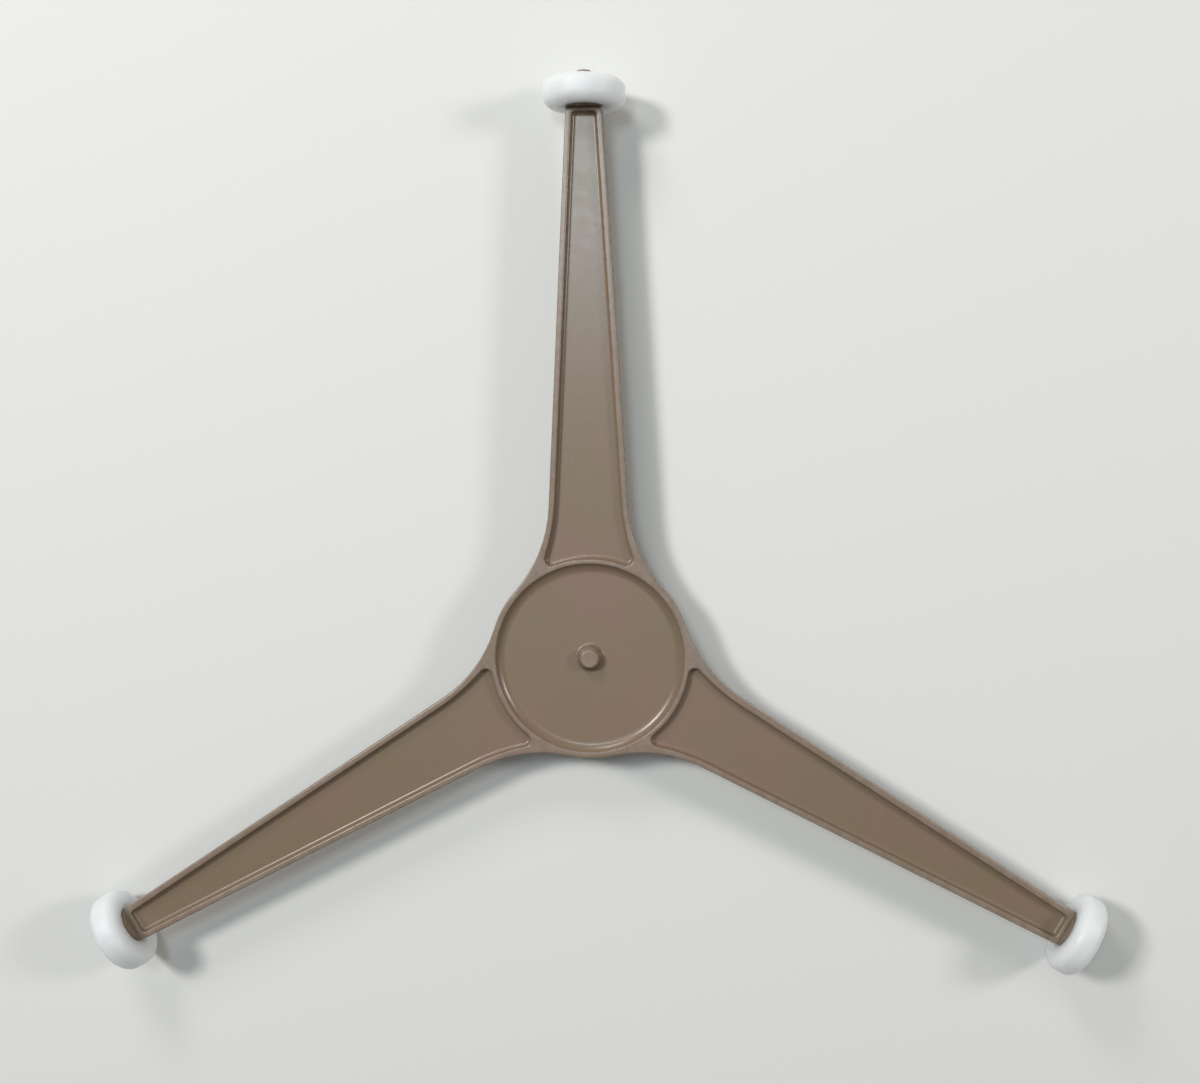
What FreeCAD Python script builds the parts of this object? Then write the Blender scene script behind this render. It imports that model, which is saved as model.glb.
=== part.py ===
"""Three-arm roller spider that carries and turns a microwave oven's glass tray.

One plastic moulding, the frame, holds three loose rollers on its stub axles. Millimetres, +Z up. The origin
is on the hub axis at the level of the oven floor, and the first arm points along +Y.
"""

import FreeCAD, Part
import math
import os

from FreeCAD import Vector

# Rollers: where they run and what they measure
ARM_COUNT = 3
TRACK_RADIUS = 118.0
ROLLER_RADIUS = 8.62
ROLLER_WIDTH = 5.9
ROLLER_EDGE_ROUND = 2.3
POCKET_RADIUS = 4.4
POCKET_FLOOR_RADIUS = 4.25
POCKET_DEPTH = 1.1

# Stub axles on the arm ends, each with a collar in the roller's pocket and a snap head in front of the roller
AXLE_RADIUS = 1.7
BORE_CLEARANCE = 0.08
COLLAR_RADIUS = 3.85
COLLAR_LENGTH = 0.65
COLLAR_FOOT = 0.2
COLLAR_GAP = 0.15
HEAD_OVERHANG = 0.25
HEAD_GAP = 0.3
HEAD_LAND = 0.4
HEAD_LENGTH = 2.55
HEAD_TIP_RADIUS = 1.6

# Plan outline of the frame, at the parting plane of its mould
HUB_RADIUS = 21.34
FLARE_RADIUS = 28.3
ARM_ROOT_WIDTH = 18.1
ARM_TIP_WIDTH = 7.76
TIP_CORNER_RADIUS = 0.7

# Section of the frame: a web at axle height between ribs that stand up and down from it
FRAME_HEIGHT = 3.4
WEB_THICKNESS = 1.0
RIB_WIDTH = 1.3
END_WALL = 1.15
OUTER_DRAFT_DEG = 3.0
INNER_DRAFT_DEG = 5.0

# Channels in the arms
CHANNEL_FLARE_START = 33.25
CHANNEL_FLARE_RADIUS = 45.3
CHANNEL_ROOT_RADIUS = 1.4
CHANNEL_END_RADIUS = 0.9
CHANNEL_FILLET = 0.75

# Hub: a round recess above and below, a pip on top and the drive boss underneath
RECESS_RADIUS = 19.95
RECESS_FILLET = 1.0
RIM_WIDTH = 1.1
PIP_BASE_RADIUS = 2.4
PIP_TOP_RADIUS = 1.9
PIP_HEIGHT = 4.2
PIP_FILLET = 0.7
PIP_ROUND = 0.4
BOSS_RADIUS = 6.0
BOSS_FLOOR_CLEARANCE = 2.0
SOCKET_RADIUS = 3.55
SOCKET_FLAT = 2.55
SOCKET_DEPTH = 5.6

# Places that follow from the sizes above
AXLE_Z = ROLLER_RADIUS
FRAME_TOP = AXLE_Z + FRAME_HEIGHT / 2
FRAME_BOTTOM = AXLE_Z - FRAME_HEIGHT / 2
WEB_TOP = AXLE_Z + WEB_THICKNESS / 2
WEB_BOTTOM = AXLE_Z - WEB_THICKNESS / 2
CHANNEL_DEPTH = FRAME_TOP - WEB_TOP
OUTER_SLOPE = math.tan(math.radians(OUTER_DRAFT_DEG))
INNER_SLOPE = math.tan(math.radians(INNER_DRAFT_DEG))
OUTER_LEAN = OUTER_SLOPE * FRAME_HEIGHT / 2
ROLLER_INNER_FACE = TRACK_RADIUS - ROLLER_WIDTH / 2
ROLLER_OUTER_FACE = TRACK_RADIUS + ROLLER_WIDTH / 2
BORE_INNER_END = ROLLER_INNER_FACE + POCKET_DEPTH
BORE_OUTER_END = ROLLER_OUTER_FACE - POCKET_DEPTH
COLLAR_END = BORE_INNER_END - COLLAR_GAP
ARM_END = COLLAR_END - COLLAR_LENGTH
BORE_RADIUS = AXLE_RADIUS + BORE_CLEARANCE
CUT_OVERRUN = 1.0

# One side of an arm in its own plan, across the arm and then along it: its side line leans in to the tip
SIDE_LEAN = math.atan2((ARM_ROOT_WIDTH - ARM_TIP_WIDTH) / 2, ARM_END - HUB_RADIUS)
SIDE_ALONG = Vector(-math.sin(SIDE_LEAN), math.cos(SIDE_LEAN), 0)
SIDE_OUT = Vector(math.cos(SIDE_LEAN), math.sin(SIDE_LEAN), 0)
SIDE_REACH = SIDE_OUT.dot(Vector(ARM_TIP_WIDTH / 2, ARM_END, 0))

UP = Vector(0, 0, 1)
ORIGIN = Vector(0, 0, 0)


def mirrored(point):
    """The same point on the other side of the arm."""
    return Vector(-point.x, point.y, point.z)


def arc_about(centre, start, end):
    """The shorter arc from start to end about a centre."""
    middle = (start - centre) + (end - centre)
    middle = middle.normalize() * (start - centre).Length
    return Part.Arc(start, centre + middle, end).toShape()


def turned(shape, arm):
    """A shape made for the first arm, turned about the hub axis to another one."""
    copy = shape.copy()
    copy.rotate(ORIGIN, UP, -360.0 / ARM_COUNT * arm)
    return copy


def raised(edge, height):
    """A plan edge lifted to a height."""
    copy = edge.copy()
    copy.translate(UP * height)
    return copy


def frame_outline(inset):
    """Plan outline of the frame: hub arcs, flares, leaning arm sides and rounded tips, all set in alike."""
    flare_offset = SIDE_REACH + FLARE_RADIUS
    flare_along = math.sqrt((HUB_RADIUS + FLARE_RADIUS) ** 2 - flare_offset ** 2)
    flare_centre = SIDE_OUT * flare_offset + SIDE_ALONG * flare_along
    hub_end = flare_centre * ((HUB_RADIUS - inset) / flare_centre.Length)
    side_start = flare_centre - SIDE_OUT * (FLARE_RADIUS + inset)

    corner_along = ARM_END - TIP_CORNER_RADIUS
    corner_across = (SIDE_REACH - TIP_CORNER_RADIUS - corner_along * SIDE_OUT.y) / SIDE_OUT.x
    corner_centre = Vector(corner_across, corner_along, 0)
    side_end = corner_centre + SIDE_OUT * (TIP_CORNER_RADIUS - inset)
    tip_end = corner_centre + Vector(0, TIP_CORNER_RADIUS - inset, 0)

    arm = [
        arc_about(mirrored(flare_centre), mirrored(hub_end), mirrored(side_start)),
        Part.LineSegment(mirrored(side_start), mirrored(side_end)).toShape(),
        arc_about(mirrored(corner_centre), mirrored(side_end), mirrored(tip_end)),
        Part.LineSegment(mirrored(tip_end), tip_end).toShape(),
        arc_about(corner_centre, tip_end, side_end),
        Part.LineSegment(side_end, side_start).toShape(),
        arc_about(flare_centre, side_start, hub_end),
    ]
    next_start = turned(Part.Vertex(mirrored(hub_end)), 1).Point
    arm.append(arc_about(ORIGIN, hub_end, next_start))
    return [turned(edge, k) for k in range(ARM_COUNT) for edge in arm]


def channel_outline(inset):
    """Plan outline of one arm's channel: it starts on an arc round the hub rim and ends at the tip wall."""
    reach = SIDE_REACH - OUTER_LEAN - RIB_WIDTH
    flare_along = (CHANNEL_FLARE_START - SIDE_OUT.y * reach) / SIDE_ALONG.y
    flare_centre = SIDE_OUT * (reach + CHANNEL_FLARE_RADIUS) + SIDE_ALONG * flare_along
    rim_radius = RECESS_RADIUS + RIM_WIDTH
    end_along = ARM_END - OUTER_LEAN - END_WALL

    # the root corner touches the rim and the flare, so its centre is where two wider circles cross
    span = flare_centre.Length
    towards = flare_centre * (1 / span)
    aside = Vector(-towards.y, towards.x, 0)
    from_hub = rim_radius + CHANNEL_ROOT_RADIUS
    from_flare = CHANNEL_FLARE_RADIUS + CHANNEL_ROOT_RADIUS
    along = (span ** 2 + from_hub ** 2 - from_flare ** 2) / (2 * span)
    root_centre = towards * along + aside * math.sqrt(from_hub ** 2 - along ** 2)
    tip_along = end_along - CHANNEL_END_RADIUS
    tip_across = (reach - CHANNEL_END_RADIUS - SIDE_OUT.y * tip_along) / SIDE_OUT.x
    tip_centre = Vector(tip_across, tip_along, 0)

    rim_end = root_centre * ((rim_radius + inset) / root_centre.Length)
    from_flare_to_root = (root_centre - flare_centre) * (1 / from_flare)
    flare_start = flare_centre + from_flare_to_root * (CHANNEL_FLARE_RADIUS + inset)
    side_start = flare_centre - SIDE_OUT * (CHANNEL_FLARE_RADIUS + inset)
    side_end = tip_centre + SIDE_OUT * (CHANNEL_END_RADIUS - inset)
    end_start = tip_centre + Vector(0, CHANNEL_END_RADIUS - inset, 0)
    return [
        arc_about(ORIGIN, mirrored(rim_end), rim_end),
        arc_about(root_centre, rim_end, flare_start),
        arc_about(flare_centre, flare_start, side_start),
        Part.LineSegment(side_start, side_end).toShape(),
        arc_about(tip_centre, side_end, end_start),
        Part.LineSegment(end_start, mirrored(end_start)).toShape(),
        arc_about(mirrored(tip_centre), mirrored(end_start), mirrored(side_end)),
        Part.LineSegment(mirrored(side_end), mirrored(side_start)).toShape(),
        arc_about(mirrored(flare_centre), mirrored(side_start), mirrored(flare_start)),
        arc_about(mirrored(root_centre), mirrored(flare_start), mirrored(rim_end)),
    ]


def drafted_wall(lower, upper):
    """The leaning wall between an edge of one outline and that of the next: a plane or part of a cone."""
    start, end = lower.firstVertex(True).Point, lower.lastVertex(True).Point
    upper_start, upper_end = upper.firstVertex(True).Point, upper.lastVertex(True).Point
    if isinstance(lower.Curve, Part.Line):
        return Part.Face(Part.makePolygon([start, end, upper_end, upper_start, start]))
    sweep = math.degrees(lower.LastParameter - lower.FirstParameter)
    return Part.LineSegment(start, upper_start).toShape().revolve(lower.Curve.Center, lower.Curve.Axis, sweep)


def drafted_solid(levels):
    """A solid between plan outlines, given from the lowest to the highest, each with its height."""
    outlines = [[raised(edge, height) for edge in outline] for outline, height in levels]
    faces = [Part.Face(Part.Wire(outlines[0])), Part.Face(Part.Wire(outlines[-1]))]
    for lower, upper in zip(outlines, outlines[1:]):
        faces += [drafted_wall(*pair) for pair in zip(lower, upper)]
    shell = Part.makeShell(faces)
    shell.sewShape()
    return Part.makeSolid(shell)


def frame_blank():
    """The solid plan shape, leaning in above and below the parting plane."""
    narrow = frame_outline(OUTER_LEAN)
    return drafted_solid([(narrow, FRAME_BOTTOM), (frame_outline(0.0), AXLE_Z), (narrow, FRAME_TOP)])


def channel_cutter():
    """What is taken out above the web of the first arm: drafted sides, rounded corners, filleted floor."""
    floor = channel_outline(INNER_SLOPE * CHANNEL_DEPTH)
    mouth = channel_outline(-INNER_SLOPE * CUT_OVERRUN)
    cutter = drafted_solid([(floor, WEB_TOP), (mouth, FRAME_TOP + CUT_OVERRUN)])
    return cutter.makeFillet(CHANNEL_FILLET, edges_at(cutter, WEB_TOP))


def edges_at(solid, height):
    """All edges of a solid that lie flat at a height."""
    near = 1e-4
    return [
        edge
        for edge in solid.Edges
        if abs(edge.BoundBox.ZMin - height) < near and abs(edge.BoundBox.ZMax - height) < near
    ]


def recess_cutter():
    """The round dish above the hub's web, with its floor filleted into the wall."""
    floor_radius = RECESS_RADIUS - INNER_SLOPE * CHANNEL_DEPTH
    mouth_radius = RECESS_RADIUS + INNER_SLOPE * CUT_OVERRUN
    cutter = Part.makeCone(floor_radius, mouth_radius, CHANNEL_DEPTH + CUT_OVERRUN, Vector(0, 0, WEB_TOP))
    return cutter.makeFillet(RECESS_FILLET, edges_at(cutter, WEB_TOP))


def below(shape):
    """The same shape mirrored to the underside of the web."""
    return shape.mirror(Vector(0, 0, AXLE_Z), UP)


def hub_pip():
    """The stub in the middle of the dish, with a flared foot and a rounded top edge."""
    foot_radius = PIP_BASE_RADIUS + PIP_FILLET
    pip = Part.makeCone(PIP_BASE_RADIUS, PIP_TOP_RADIUS, PIP_HEIGHT, Vector(0, 0, WEB_TOP))
    foot = Part.makeCylinder(2 * foot_radius, WEB_THICKNESS / 2, Vector(0, 0, AXLE_Z))
    stub = foot.fuse(pip).removeSplitter()
    stub = stub.makeFillet(PIP_ROUND, edges_at(stub, WEB_TOP + PIP_HEIGHT))
    foot_edge = [edge for edge in edges_at(stub, WEB_TOP) if edge.BoundBox.XMax < foot_radius]
    return stub.makeFillet(PIP_FILLET, foot_edge)


def drive_boss():
    """The round boss under the hub."""
    height = WEB_BOTTOM - BOSS_FLOOR_CLEARANCE
    return Part.makeCylinder(BOSS_RADIUS, height, Vector(0, 0, BOSS_FLOOR_CLEARANCE))


def drive_socket():
    """The blind D-shaped hole in the boss that takes the motor shaft."""
    start = Vector(0, 0, BOSS_FLOOR_CLEARANCE - CUT_OVERRUN)
    length = SOCKET_DEPTH + CUT_OVERRUN
    round_hole = Part.makeCylinder(SOCKET_RADIUS, length, start)
    width = 2 * SOCKET_RADIUS
    corner = start - Vector(width / 2, SOCKET_RADIUS, 0)
    keep = Part.makeBox(width, SOCKET_RADIUS + SOCKET_FLAT, length, corner)
    return round_hole.common(keep)


def stub_axle():
    """Collar, journal and snap head on the end of the first arm, turned about the axle line."""
    root = ARM_END - COLLAR_FOOT
    head_start = BORE_OUTER_END + HEAD_GAP
    head_radius = BORE_RADIUS + HEAD_OVERHANG
    profile = [
        (0, root),
        (COLLAR_RADIUS, root),
        (COLLAR_RADIUS, COLLAR_END),
        (AXLE_RADIUS, COLLAR_END),
        (AXLE_RADIUS, head_start),
        (head_radius, head_start),
        (head_radius, head_start + HEAD_LAND),
        (HEAD_TIP_RADIUS, head_start + HEAD_LENGTH),
        (0, head_start + HEAD_LENGTH),
    ]
    return turned_about_axle(profile)


def turned_about_axle(profile):
    """A turned solid on the first arm's axle, from points given as radius and distance from the hub."""
    points = [Vector(0, distance, AXLE_Z + radius) for radius, distance in profile]
    face = Part.Face(Part.makePolygon(points + points[:1]))
    return face.revolve(Vector(0, 0, AXLE_Z), Vector(0, 1, 0), 360)


def spider_frame():
    """The whole moulding."""
    frame = frame_blank()
    channel = channel_cutter()
    recess = recess_cutter()
    cutters = [recess, below(recess)]
    for arm in range(ARM_COUNT):
        cutters.append(turned(channel, arm))
        cutters.append(turned(below(channel), arm))
    frame = frame.cut(cutters)
    axles = [turned(stub_axle(), arm) for arm in range(ARM_COUNT)]
    frame = frame.fuse([hub_pip(), drive_boss()] + axles)
    return frame.cut(drive_socket()).removeSplitter()


def roller():
    """The first arm's wheel: broadly rounded edges, a through bore and a round pocket in each face."""
    profile = [
        (BORE_RADIUS, BORE_INNER_END),
        (POCKET_FLOOR_RADIUS, BORE_INNER_END),
        (POCKET_RADIUS, ROLLER_INNER_FACE),
        (ROLLER_RADIUS, ROLLER_INNER_FACE),
        (ROLLER_RADIUS, ROLLER_OUTER_FACE),
        (POCKET_RADIUS, ROLLER_OUTER_FACE),
        (POCKET_FLOOR_RADIUS, BORE_OUTER_END),
        (BORE_RADIUS, BORE_OUTER_END),
    ]
    wheel = turned_about_axle(profile)
    rims = [edge for edge in wheel.Edges if edge.isClosed() and edge.BoundBox.ZMin < ROLLER_EDGE_ROUND / 2]
    return wheel.makeFillet(ROLLER_EDGE_ROUND, rims)


os.makedirs("parts", exist_ok=True)
spider_frame().exportStep("parts/spider_frame.step")
for arm in range(ARM_COUNT):
    turned(roller(), arm).exportStep(f"parts/roller_{arm + 1}.step")
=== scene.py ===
"""Three-arm roller spider of a microwave oven's turntable, as it stands on its rollers seen from above."""

import math

import bmesh
import bpy
from mathutils import Matrix, Vector


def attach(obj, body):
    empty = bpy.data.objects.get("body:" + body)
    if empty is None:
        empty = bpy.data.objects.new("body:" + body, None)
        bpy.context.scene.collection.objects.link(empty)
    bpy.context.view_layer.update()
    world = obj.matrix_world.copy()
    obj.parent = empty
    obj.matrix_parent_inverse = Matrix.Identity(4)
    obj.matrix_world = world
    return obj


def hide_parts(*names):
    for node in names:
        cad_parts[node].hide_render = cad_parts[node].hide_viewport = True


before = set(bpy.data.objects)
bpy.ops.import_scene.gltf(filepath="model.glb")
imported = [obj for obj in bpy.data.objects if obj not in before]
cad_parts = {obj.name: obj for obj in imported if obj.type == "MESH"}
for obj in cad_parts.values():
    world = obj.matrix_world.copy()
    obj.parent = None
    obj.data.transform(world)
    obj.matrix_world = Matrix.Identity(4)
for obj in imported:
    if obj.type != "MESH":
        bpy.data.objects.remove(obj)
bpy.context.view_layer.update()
MM = 0.001


# Frame moulding
# The carrier is one injection moulding in taupe plastic. Ribs stand up and down from a web at axle height,
# and the mould leaves every rib edge rounded and every floor filleted. The flat rib tops of the solid are
# its sketch.
AXLE_HEIGHT = 8.62 * MM
RIB_TOP = 10.32 * MM
FLOOR_LEVEL = 8.87 * MM
RIB_EDGE_ROUND = 0.35 * MM
CHANNEL_FILLET = 0.8 * MM
DISH_FILLET = 2.3 * MM
OUTER_DRAFT = math.radians(3)
INNER_DRAFT = math.radians(5)
ROUND_STEPS = 4
FILLET_STEPS = 6
NEAR = 0.01 * MM
SEAM = 0.002 * MM
SMALLEST_STEP = 0.07 * MM
LEVEL = 0.999
ARM_TURNS = (0, -120, -240)


def only(piece):
    """Makes a piece the one that the next operators work on."""
    bpy.ops.object.select_all(action="DESELECT")
    bpy.context.view_layer.objects.active = piece
    piece.select_set(True)


def pick_faces(piece, wanted):
    """Selects the faces that suit, by their centre and normal."""
    bpy.ops.mesh.select_mode(type="FACE")
    mesh = bmesh.from_edit_mesh(piece.data)
    for face in mesh.faces:
        face.select_set(wanted(face.calc_center_median(), face.normal))
    mesh.select_flush_mode()
    bmesh.update_edit_mesh(piece.data)


def open_rims(piece):
    """The open edge loops of a piece as lists of edge numbers, the longest first."""
    mesh = bmesh.from_edit_mesh(piece.data)
    mesh.edges.index_update()
    mesh.edges.ensure_lookup_table()
    left = {edge.index for edge in mesh.edges if edge.is_boundary}
    rims = []
    while left:
        rim, ahead = [], [left.pop()]
        while ahead:
            number = ahead.pop()
            rim.append(number)
            corners = mesh.edges[number].verts
            beside = {edge.index for corner in corners for edge in corner.link_edges} & left
            left -= beside
            ahead += beside
        rims.append(rim)
    rims.sort(key=lambda rim: -sum(mesh.edges[number].calc_length() for number in rim))
    return rims


def pick_edges(piece, numbers):
    """Selects edges by number."""
    bpy.ops.mesh.select_mode(type="EDGE")
    bpy.ops.mesh.select_all(action="DESELECT")
    mesh = bmesh.from_edit_mesh(piece.data)
    mesh.edges.ensure_lookup_table()
    for number in numbers:
        mesh.edges[number].select_set(True)
    mesh.select_flush_mode()
    bmesh.update_edit_mesh(piece.data)


def draw_down(profile):
    """Continues the picked rim along a profile: how far out along the wall's normal, and how high."""
    for (out, height), (next_out, next_height) in zip(profile, profile[1:]):
        bpy.ops.mesh.extrude_edges_move(TRANSFORM_OT_translate={"value": (0, 0, next_height - height)})
        bpy.ops.transform.shrink_fatten(value=next_out - out, use_even_offset=True)


def step_in(profile):
    """Insets the picked faces along a profile of points, each how far in and how high."""
    for (inward, height), (next_inward, next_height) in zip(profile, profile[1:]):
        bpy.ops.mesh.inset(thickness=next_inward - inward, depth=next_height - height, use_even_offset=True)


def quarter(radius, steps):
    """Cosine and sine legs of a quarter round in equal turns."""
    angles = [math.pi / 2 * step / steps for step in range(steps + 1)]
    return [(radius * math.cos(angle), radius * math.sin(angle)) for angle in angles]


def cavity_side(depth, fillet):
    """Section of a cavity's side, how far in and how high: any drafted wall that is left, and the fillet."""
    turn = min(math.pi / 2 - INNER_DRAFT, math.acos(max(-1, 1 - depth / fillet)))
    wall_height = depth - fillet * (1 - math.cos(turn))
    floor_start = wall_height * math.tan(INNER_DRAFT) + fillet * math.sin(turn)
    angles = [turn * (1 - step / FILLET_STEPS) for step in range(FILLET_STEPS + 1)]
    foot = [
        (floor_start - fillet * math.sin(angle), fillet * (1 - math.cos(angle))) for angle in angles
    ]
    return ([(0, depth)] if wall_height > NEAR else []) + foot


moulding = bpy.data.objects.new("frame_moulding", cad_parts["spider_frame"].data.copy())
bpy.context.collection.objects.link(moulding)
only(moulding)
bpy.ops.object.mode_set(mode="EDIT")
bpy.ops.mesh.select_all(action="SELECT")
bpy.ops.mesh.customdata_custom_splitnormals_clear()
bpy.ops.mesh.remove_doubles(threshold=SEAM)
pick_faces(moulding, lambda centre, normal: abs(centre.z - RIB_TOP) > NEAR or normal.z < LEVEL)
bpy.ops.mesh.delete(type="FACE")
bpy.ops.mesh.select_all(action="SELECT")
bpy.ops.mesh.remove_doubles(threshold=SMALLEST_STEP)

# rounded edges all round the flat rib tops
bpy.ops.mesh.select_all(action="SELECT")
bpy.ops.transform.translate(value=(0, 0, -RIB_EDGE_ROUND))
step_in([(RIB_EDGE_ROUND - across, up) for across, up in quarter(RIB_EDGE_ROUND, ROUND_STEPS)])

# outer wall down to the parting plane, channel walls and recess wall down to their floors
wall_height = RIB_TOP - AXLE_HEIGHT - RIB_EDGE_ROUND
cavity_depth = RIB_TOP - FLOOR_LEVEL - RIB_EDGE_ROUND
pick_edges(moulding, open_rims(moulding)[0])
draw_down([(0, wall_height), (wall_height * math.tan(OUTER_DRAFT), 0)])
for arm in ARM_TURNS:
    pick_edges(moulding, open_rims(moulding)[1])
    draw_down(cavity_side(cavity_depth, CHANNEL_FILLET))
    bpy.ops.mesh.edge_face_add()
pick_edges(moulding, open_rims(moulding)[1])
dish_side = cavity_side(cavity_depth, DISH_FILLET)
draw_down(dish_side)
bpy.ops.mesh.edge_face_add()

# the underside is the same half turned over at the parting plane
bpy.ops.mesh.select_all(action="SELECT")
bpy.ops.mesh.duplicate()
bpy.ops.transform.resize(value=(1, 1, -1), center_override=(0, 0, AXLE_HEIGHT))
bpy.ops.mesh.flip_normals()
bpy.ops.mesh.select_all(action="SELECT")
bpy.ops.mesh.remove_doubles(threshold=SEAM)


# Hub
# A stub stands in the middle of the hub's upper dish, with a flared foot and a rounded top edge. Underneath,
# a round boss takes the D-shaped shaft of the turntable motor in a blind socket. Both are part of the
# moulding.
RECESS_RADIUS = 19.95 * MM
PIP_BASE_RADIUS = 2.6 * MM
PIP_TOP_RADIUS = 2.0 * MM
PIP_HEIGHT = 2.3 * MM
PIP_FILLET = 0.7 * MM
PIP_ROUND = 0.4 * MM
BOSS_RADIUS = 6.0 * MM
BOSS_HEIGHT = 6.37 * MM
BOSS_FILLET = 0.6 * MM
BOSS_ROUND = 0.4 * MM
SOCKET_RADIUS = 3.55 * MM
SOCKET_FLAT = 2.55 * MM
SOCKET_DEPTH = 5.6 * MM
SOCKET_CHAMFER = 0.35 * MM
SOCKET_TAPER = 0.03 * MM

dish_floor_radius = RECESS_RADIUS - dish_side[-1][0]


def raise_from_dish(side, sections):
    """Raises a turned form from the dish floor on one side of the web, given as radii and heights."""
    level = AXLE_HEIGHT + side * (FLOOR_LEVEL - AXLE_HEIGHT)

    def is_dish_floor(centre, normal):
        return centre.xy.length < MM and abs(centre.z - level) < NEAR and normal.z * side > LEVEL

    pick_faces(moulding, is_dish_floor)
    step_in([(0, 0)] + [(dish_floor_radius - radius, height) for radius, height in sections])


def foot_and_edge(base, top, height, fillet, edge):
    """Radii and heights of a round stub: a flared foot, a leaning side and a rounded top edge."""
    foot = [(base + fillet - down, fillet - across) for across, down in quarter(fillet, FILLET_STEPS)]
    crown = [(top - edge + across, height - edge + up) for across, up in quarter(edge, ROUND_STEPS)]
    return foot + crown


raise_from_dish(1, foot_and_edge(PIP_BASE_RADIUS, PIP_TOP_RADIUS, PIP_HEIGHT, PIP_FILLET, PIP_ROUND))
socket = [
    (SOCKET_RADIUS + SOCKET_CHAMFER, BOSS_HEIGHT),
    (SOCKET_RADIUS, BOSS_HEIGHT - SOCKET_CHAMFER),
    (SOCKET_RADIUS - SOCKET_TAPER, BOSS_HEIGHT - SOCKET_DEPTH),
]
boss = foot_and_edge(BOSS_RADIUS, BOSS_RADIUS, BOSS_HEIGHT, BOSS_FILLET, BOSS_ROUND)
raise_from_dish(-1, boss + socket)
for corner in bmesh.from_edit_mesh(moulding.data).verts:
    spread = corner.co.xy.length
    if spread < SOCKET_RADIUS + SOCKET_CHAMFER + NEAR and corner.co.z < AXLE_HEIGHT:
        corner.co.y = min(corner.co.y, SOCKET_FLAT + max(0, spread - SOCKET_RADIUS))
bmesh.update_edit_mesh(moulding.data)
bpy.ops.object.mode_set(mode="OBJECT")


# Stub axles
# Each arm ends in a collar and a plain journal with a snap head, moulded in one with the arm. The roller was
# pushed over the head, which keeps it on.
AXLE_SIDES = 48
COLLAR_ROOT = 115.08 * MM
COLLAR_END = 116.0 * MM
COLLAR_RADIUS = 3.85 * MM
COLLAR_ROUND = 0.2 * MM
JOURNAL_RADIUS = 1.7 * MM
HEAD_START = 120.15 * MM
HEAD_RADIUS = 2.03 * MM
HEAD_LAND = 0.4 * MM
HEAD_END = 122.7 * MM
HEAD_TIP_RADIUS = 1.6 * MM
HEAD_ROUND = 0.3 * MM
SHARPEST_SMOOTH = math.radians(35)


def turned_ring(name, section, sides):
    """A turned shape on the first arm's axle line: a ring drawn along radii and distances from the hub."""
    radius, along = section[0]
    bpy.ops.object.select_all(action="DESELECT")
    bpy.ops.mesh.primitive_circle_add(
        vertices=sides, radius=radius, location=(0, along, AXLE_HEIGHT), rotation=(math.pi / 2, 0, 0)
    )
    ring = bpy.context.object
    ring.name = ring.data.name = name
    bpy.ops.object.transform_apply(location=True, rotation=True, scale=True)
    bpy.ops.object.mode_set(mode="EDIT")
    bpy.ops.mesh.select_mode(type="EDGE")
    bpy.ops.mesh.select_all(action="SELECT")
    for next_radius, next_along in section[1:]:
        bpy.ops.mesh.extrude_edges_move(TRANSFORM_OT_translate={"value": (0, next_along - along, 0)})
        spread = next_radius / radius
        bpy.ops.transform.resize(value=(spread, 1, spread), center_override=(0, next_along, AXLE_HEIGHT))
        radius, along = next_radius, next_along
    return ring


def copies_round_hub(piece):
    """The piece of the first arm and a copy of it for each of the others, with meshes of their own."""
    pieces = [piece]
    for turn in ARM_TURNS[1:]:
        copy = bpy.data.objects.new(piece.name, piece.data.copy())
        copy.data.transform(Matrix.Rotation(math.radians(turn), 4, "Z"))
        bpy.context.collection.objects.link(copy)
        pieces.append(copy)
    return pieces


collar = [(COLLAR_RADIUS, COLLAR_ROOT)] + [
    (COLLAR_RADIUS - COLLAR_ROUND + across, COLLAR_END - COLLAR_ROUND + up)
    for across, up in quarter(COLLAR_ROUND, ROUND_STEPS)
]
head = [(HEAD_RADIUS, HEAD_START), (HEAD_RADIUS, HEAD_START + HEAD_LAND)] + [
    (HEAD_TIP_RADIUS - HEAD_ROUND + across, HEAD_END - HEAD_ROUND + up)
    for across, up in quarter(HEAD_ROUND, ROUND_STEPS)
]
journal = [(JOURNAL_RADIUS, COLLAR_END), (JOURNAL_RADIUS, HEAD_START)]
axle = turned_ring("stub_axle", collar + journal + head, AXLE_SIDES)
for end in range(2):
    pick_edges(axle, open_rims(axle)[0])
    bpy.ops.mesh.edge_face_add()
bpy.ops.mesh.select_all(action="SELECT")
bpy.ops.mesh.normals_make_consistent(inside=False)
bpy.ops.object.mode_set(mode="OBJECT")
axles = copies_round_hub(axle)
only(axle)
for copy in axles[1:]:
    copy.select_set(True)
bpy.ops.object.join()

only(moulding)
bpy.ops.object.modifier_add(type="BOOLEAN")
moulding.modifiers[-1].operation = "UNION"
moulding.modifiers[-1].solver = "EXACT"
moulding.modifiers[-1].object = axle
bpy.ops.object.modifier_apply(modifier=moulding.modifiers[-1].name)
bpy.data.objects.remove(axle)
only(moulding)
bpy.ops.object.shade_smooth_by_angle(angle=SHARPEST_SMOOTH)
bpy.ops.object.modifier_add(type="WEIGHTED_NORMAL")
moulding.modifiers[-1].keep_sharp = True
bpy.ops.object.modifier_apply(modifier=moulding.modifiers[-1].name)


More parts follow.
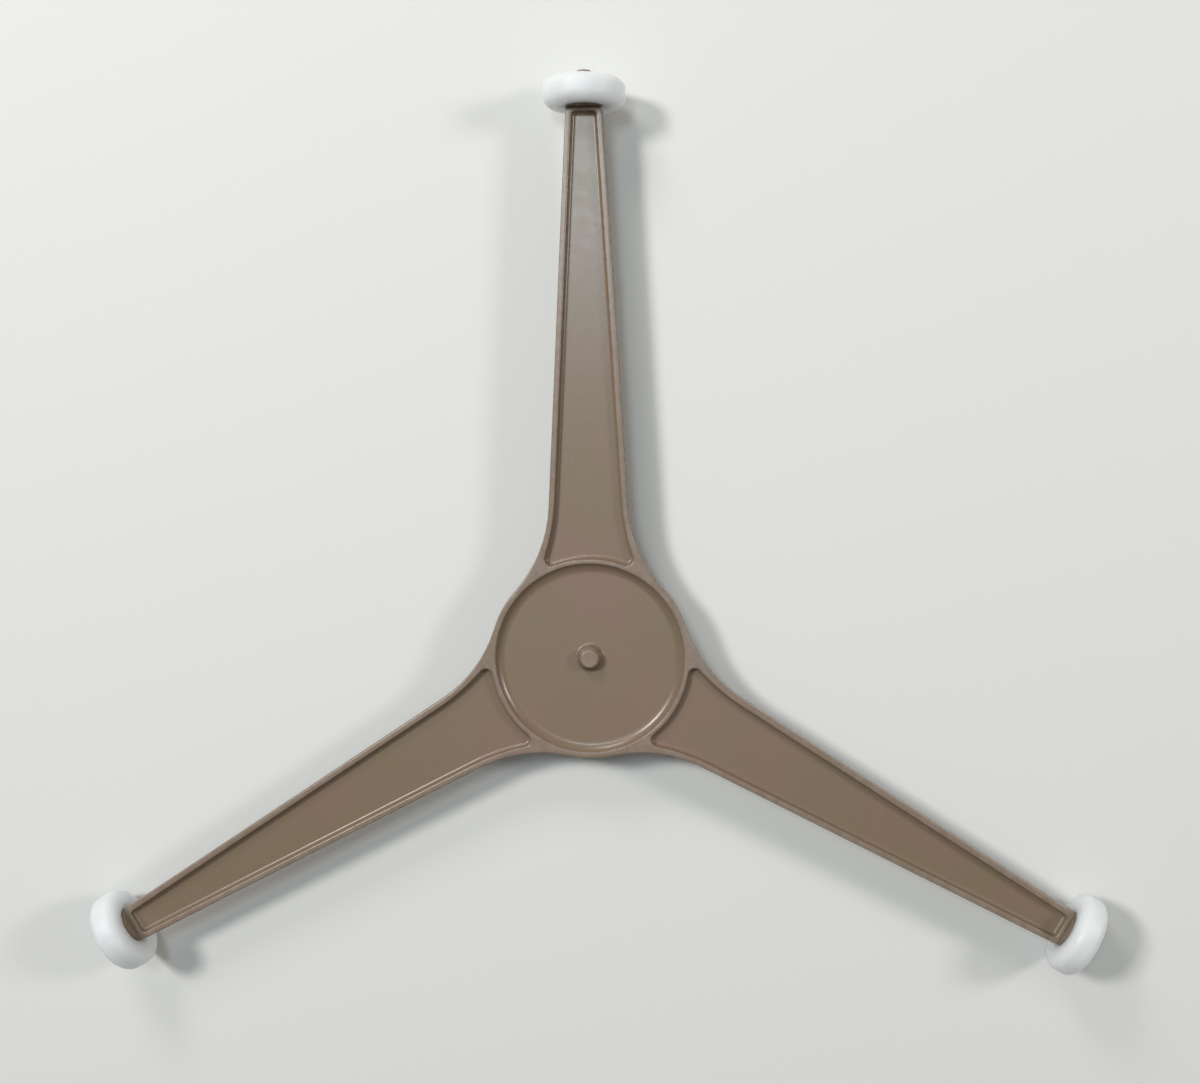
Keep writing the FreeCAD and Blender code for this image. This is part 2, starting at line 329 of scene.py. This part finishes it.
# Taupe plastic
# The moulding's finish is semi-matt and faintly mottled, as it came out of the mould. The rib tops are
# painted a little paler, partly for where they have been rubbed and partly as a painted sheen.
TAUPE_WARM = (0.214, 0.146, 0.106, 1)
TAUPE_OLIVE = (0.200, 0.150, 0.098, 1)
# paler rib-top colour: partly rubbed wear, partly painted sheen
RUBBED_AND_PAINTED_SHEEN = (0.248, 0.192, 0.156, 1)
MOTTLE_SCALE = 75
MOTTLE_SPAN = (0.35, 0.65)
GRAIN_SCALE = 1500
SCUFF_SCALE = 420
SCUFF_SPAN = (0.25, 0.75)
RUBBING_AND_SHEEN_SPAN = (0.30, 0.75)
RUBBING_AND_SHEEN_SHARE = (0.15, 1.0)
SHEEN_AND_RUBBING_FROM = RIB_TOP - 1.2 * RIB_EDGE_ROUND
SHEEN_AND_RUBBING_FULLY = RIB_TOP - 0.1 * RIB_EDGE_ROUND
TAUPE_ROUGHNESS = (0.255, 0.295)
WAVE_DEPTH = 0.5 * MM
WAVE_STRENGTH = 0.025
GRAIN_DEPTH = 0.02 * MM
GRAIN_STRENGTH = 0.25
MIX_COLOUR_INPUTS = (6, 7)
MIX_COLOUR_OUTPUT = 2
taupe = bpy.data.materials.new("taupe_moulding")
taupe.use_nodes = True
nodes, links = taupe.node_tree.nodes, taupe.node_tree.links
shader = nodes["Principled BSDF"]


def node(kind, **settings):
    """A new node of the material being made, with its settings."""
    made = nodes.new(kind)
    for name, value in settings.items():
        setattr(made, name, value)
    return made


def noise(place, scale, detail, roughness=0.5):
    """Grain of a given scale, per metre."""
    made = node("ShaderNodeTexNoise")
    made.inputs["Scale"].default_value = scale
    made.inputs["Detail"].default_value = detail
    made.inputs["Roughness"].default_value = roughness
    links.new(place, made.inputs["Vector"])
    return made.outputs["Fac"]


def spread_between(value, low, high, out_low=0.0, out_high=1.0):
    """The value remapped from one span to another."""
    made = node("ShaderNodeMapRange", interpolation_type="SMOOTHSTEP")
    span_inputs = ("From Min", "From Max", "To Min", "To Max")
    for slot, number in zip(span_inputs, (low, high, out_low, out_high)):
        made.inputs[slot].default_value = number
    links.new(value, made.inputs["Value"])
    return made.outputs["Result"]


def product(first, second):
    """Two values multiplied."""
    made = node("ShaderNodeMath", operation="MULTIPLY")
    links.new(first, made.inputs[0])
    links.new(second, made.inputs[1])
    return made.outputs[0]


def blended(amount, first, second):
    """A colour between two, each a colour or another node's output."""
    made = node("ShaderNodeMix", data_type="RGBA")
    links.new(amount, made.inputs["Factor"])
    for slot, colour in zip(MIX_COLOUR_INPUTS, (first, second)):
        if isinstance(colour, tuple):
            made.inputs[slot].default_value = colour
        else:
            links.new(colour, made.inputs[slot])
    return made.outputs[MIX_COLOUR_OUTPUT]


def bumped(height, distance, strength, under=None):
    """A bump from a height, over another bump if there is one."""
    made = node("ShaderNodeBump")
    made.inputs["Distance"].default_value = distance
    made.inputs["Strength"].default_value = strength
    links.new(height, made.inputs["Height"])
    if under:
        links.new(under, made.inputs["Normal"])
    return made.outputs["Normal"]


place = node("ShaderNodeTexCoord").outputs["Object"]
split = node("ShaderNodeSeparateXYZ")
links.new(place, split.inputs["Vector"])
mottle = noise(place, MOTTLE_SCALE, detail=3)
grain = noise(place, GRAIN_SCALE, detail=2)
scuffs = noise(place, SCUFF_SCALE, detail=5, roughness=0.65)
# painted sheen with rubbing: the rib tops are made paler by height, broken up by the scuff grain
rib_tops = spread_between(split.outputs["Z"], SHEEN_AND_RUBBING_FROM, SHEEN_AND_RUBBING_FULLY)
rubbing_and_sheen = product(rib_tops, spread_between(scuffs, *RUBBING_AND_SHEEN_SPAN, *RUBBING_AND_SHEEN_SHARE))
plastic = blended(spread_between(mottle, *MOTTLE_SPAN), TAUPE_OLIVE, TAUPE_WARM)
links.new(blended(rubbing_and_sheen, plastic, RUBBED_AND_PAINTED_SHEEN), shader.inputs["Base Color"])
links.new(spread_between(scuffs, *SCUFF_SPAN, *TAUPE_ROUGHNESS), shader.inputs["Roughness"])
waves = bumped(mottle, WAVE_DEPTH, WAVE_STRENGTH)
links.new(bumped(grain, GRAIN_DEPTH, GRAIN_STRENGTH, waves), shader.inputs["Normal"])
moulding.data.materials.clear()
moulding.data.materials.append(taupe)
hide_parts("spider_frame")
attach(moulding, "frame")


# Rollers
# Three plain wheels turn on the stub axles. They are moulded in a slippery white plastic that lets some
# light through. Their treads are flat only in the middle, the edges are broadly rounded, and each face has a
# round pocket, the inner one for the arm's collar.
ROLLER_SIDES = 112
TRACK_RADIUS = 118.0 * MM
ROLLER_RADIUS = AXLE_HEIGHT
ROLLER_HALF_WIDTH = 2.95 * MM
TREAD_HALF_WIDTH = 0.95 * MM
EDGE_FALL = 2.3 * MM
EDGE_STEPS = 12
POCKET_DEPTH = 1.1 * MM
POCKET_RADIUS = 4.3 * MM
POCKET_LEAN = 0.12 * MM
POCKET_ROUND = 0.25 * MM
FACE_CROWN = 0.12 * MM
BORE_RADIUS = 1.78 * MM
BORE_CHAMFER = 0.2 * MM
edge_reach = ROLLER_HALF_WIDTH - TREAD_HALF_WIDTH
rim_radius = ROLLER_RADIUS - EDGE_FALL
bore_end = ROLLER_HALF_WIDTH - POCKET_DEPTH
lip = ROLLER_HALF_WIDTH - FACE_CROWN
half_section = [
    (BORE_RADIUS, bore_end - BORE_CHAMFER),
    (BORE_RADIUS + BORE_CHAMFER, bore_end),
    (POCKET_RADIUS - POCKET_LEAN, bore_end),
]
for across, up in quarter(POCKET_ROUND, ROUND_STEPS):
    half_section.append((POCKET_RADIUS + POCKET_ROUND - across, lip - POCKET_ROUND + up))
for across, up in quarter(1.0, EDGE_STEPS):
    half_section.append((rim_radius + EDGE_FALL * up, TREAD_HALF_WIDTH + edge_reach * across))
outer_half = [(radius, TRACK_RADIUS + offset) for radius, offset in half_section]
inner_half = [(radius, TRACK_RADIUS - offset) for radius, offset in half_section]
roller = turned_ring("roller_wheel_1", outer_half + inner_half[::-1] + outer_half[:1], ROLLER_SIDES)
bpy.ops.mesh.select_all(action="SELECT")
bpy.ops.mesh.remove_doubles(threshold=SEAM)
bpy.ops.mesh.normals_make_consistent(inside=False)
bpy.ops.object.mode_set(mode="OBJECT")
only(roller)
bpy.ops.object.shade_smooth_by_angle(angle=SHARPEST_SMOOTH)

# clean white with slight smears from handling
WHITE_CLEAN = (0.68, 0.705, 0.72, 1)
WHITE_HANDLED = (0.66, 0.68, 0.685, 1)
SMEAR_SCALE = 260
SMEAR_COLOUR_SPAN = (0.4, 0.7)
SMEAR_SHINE_SPAN = (0.3, 0.7)
ORANGE_PEEL_SCALE = 900
ORANGE_PEEL_DEPTH = 0.02 * MM
ORANGE_PEEL_STRENGTH = 0.2
WHITE_ROUGHNESS = (0.38, 0.48)
WHITE_SPECULAR = 0.4
LIGHT_REACH = 9 * MM
white = bpy.data.materials.new("white_roller")
white.use_nodes = True
nodes, links = white.node_tree.nodes, white.node_tree.links
shader = nodes["Principled BSDF"]
place = node("ShaderNodeTexCoord").outputs["Object"]
smears = noise(place, SMEAR_SCALE, detail=4)
handling = spread_between(smears, *SMEAR_COLOUR_SPAN)
links.new(blended(handling, WHITE_CLEAN, WHITE_HANDLED), shader.inputs["Base Color"])
links.new(spread_between(smears, *SMEAR_SHINE_SPAN, *WHITE_ROUGHNESS), shader.inputs["Roughness"])
shader.inputs["Specular IOR Level"].default_value = WHITE_SPECULAR
shader.inputs["Subsurface Weight"].default_value = 1.0
shader.inputs["Subsurface Radius"].default_value = (1, 1, 1)
shader.inputs["Subsurface Scale"].default_value = LIGHT_REACH
orange_peel = noise(place, ORANGE_PEEL_SCALE, detail=2)
links.new(bumped(orange_peel, ORANGE_PEEL_DEPTH, ORANGE_PEEL_STRENGTH), shader.inputs["Normal"])
roller.data.materials.append(white)
for number, wheel in enumerate(copies_round_hub(roller), 1):
    wheel.name = wheel.data.name = f"roller_wheel_{number}"
    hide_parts(f"roller_{number}")
    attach(wheel, f"roller_{number}")


# Floor
# A plain, matt, pale ground that the rollers stand on.
# It is no part of the object.
FLOOR_SIZE = 6.0
FLOOR_COLOUR = (0.72, 0.72, 0.70, 1)
FLOOR_ROUGHNESS = 0.9
bpy.ops.object.select_all(action="DESELECT")
bpy.ops.mesh.primitive_plane_add(size=FLOOR_SIZE)
floor = bpy.context.object
floor.name = "floor"
pale = bpy.data.materials.new("pale_floor")
pale.use_nodes = True
shader = pale.node_tree.nodes["Principled BSDF"]
shader.inputs["Base Color"].default_value = FLOOR_COLOUR
shader.inputs["Roughness"].default_value = FLOOR_ROUGHNESS
floor.data.materials.append(pale)


# Light
# Five soft lamps, most of them towards the upper side of the picture, and an even, slightly warm surround.
# Each lamp has its azimuth and elevation in degrees, its distance and size in metres, its power in watts and
# its tint.
SURROUND_COLOUR = (1.0, 0.95, 0.88, 1)
SURROUND_STRENGTH = 0.15
world = bpy.data.worlds.new("studio")
bpy.context.scene.world = world
world.use_nodes = True
surround = world.node_tree.nodes["Background"]
surround.inputs["Color"].default_value = SURROUND_COLOUR
surround.inputs["Strength"].default_value = SURROUND_STRENGTH
LAMPS = (
    ("left", 150, 50, 1.40, 0.24, 10.2, (1.0, 0.995, 0.985)),
    ("ceiling", 180, 86, 1.20, 0.52, 0.72, (0.94, 0.98, 1.0)),
    ("far", 110, 72, 1.05, 0.18, 1.75, (0.72, 0.90, 1.0)),
    ("back", 112, 32, 0.75, 0.20, 1.45, (1.0, 0.98, 0.95)),
    ("right", 16, 33, 0.90, 0.15, 2.3, (1.0, 0.98, 0.95)),
)
for name, azimuth, elevation, distance, size, power, tint in LAMPS:
    lamp = bpy.data.objects.new(f"lamp_{name}", bpy.data.lights.new(f"lamp_{name}", "AREA"))
    lamp.data.size = size
    lamp.data.energy = power
    lamp.data.color = tint
    around, up = math.radians(azimuth), math.radians(elevation)
    level = math.cos(up)
    lamp.location = distance * Vector((math.cos(around) * level, math.sin(around) * level, math.sin(up)))
    lamp.rotation_euler = lamp.location.to_track_quat("Z", "Y").to_euler()
    bpy.context.collection.objects.link(lamp)


# Camera
# It stands about 0.3 m above the hub and a little to the upper right, and looks almost straight down.
# Lens and sensor are in millimetres.
CAMERA_PLACE = Vector((31.88, 42.90, 313.33)) * MM
CAMERA_AIM = Vector((18.86, 28.21, 0)) * MM
CAMERA_ROLL = math.radians(0.501)
CAMERA_SHIFT = (-0.0667, -0.0167)
FOCAL_LENGTH = 43.5
SENSOR_WIDTH = 36
NEAREST_SEEN = 0.01
camera = bpy.data.objects.new("camera", bpy.data.cameras.new("camera"))
camera.data.lens = FOCAL_LENGTH
camera.data.sensor_width = SENSOR_WIDTH
camera.data.shift_x, camera.data.shift_y = CAMERA_SHIFT
ahead = (CAMERA_AIM - CAMERA_PLACE).normalized()
right = ahead.cross(Vector((math.sin(CAMERA_ROLL), math.cos(CAMERA_ROLL), 0))).normalized()
turn = Matrix((right, right.cross(ahead), -ahead)).transposed()
camera.matrix_world = Matrix.Translation(CAMERA_PLACE) @ turn.to_4x4()
camera.data.clip_start = NEAREST_SEEN
bpy.context.collection.objects.link(camera)
bpy.context.scene.camera = camera

bpy.context.scene.view_settings.view_transform = "Standard"
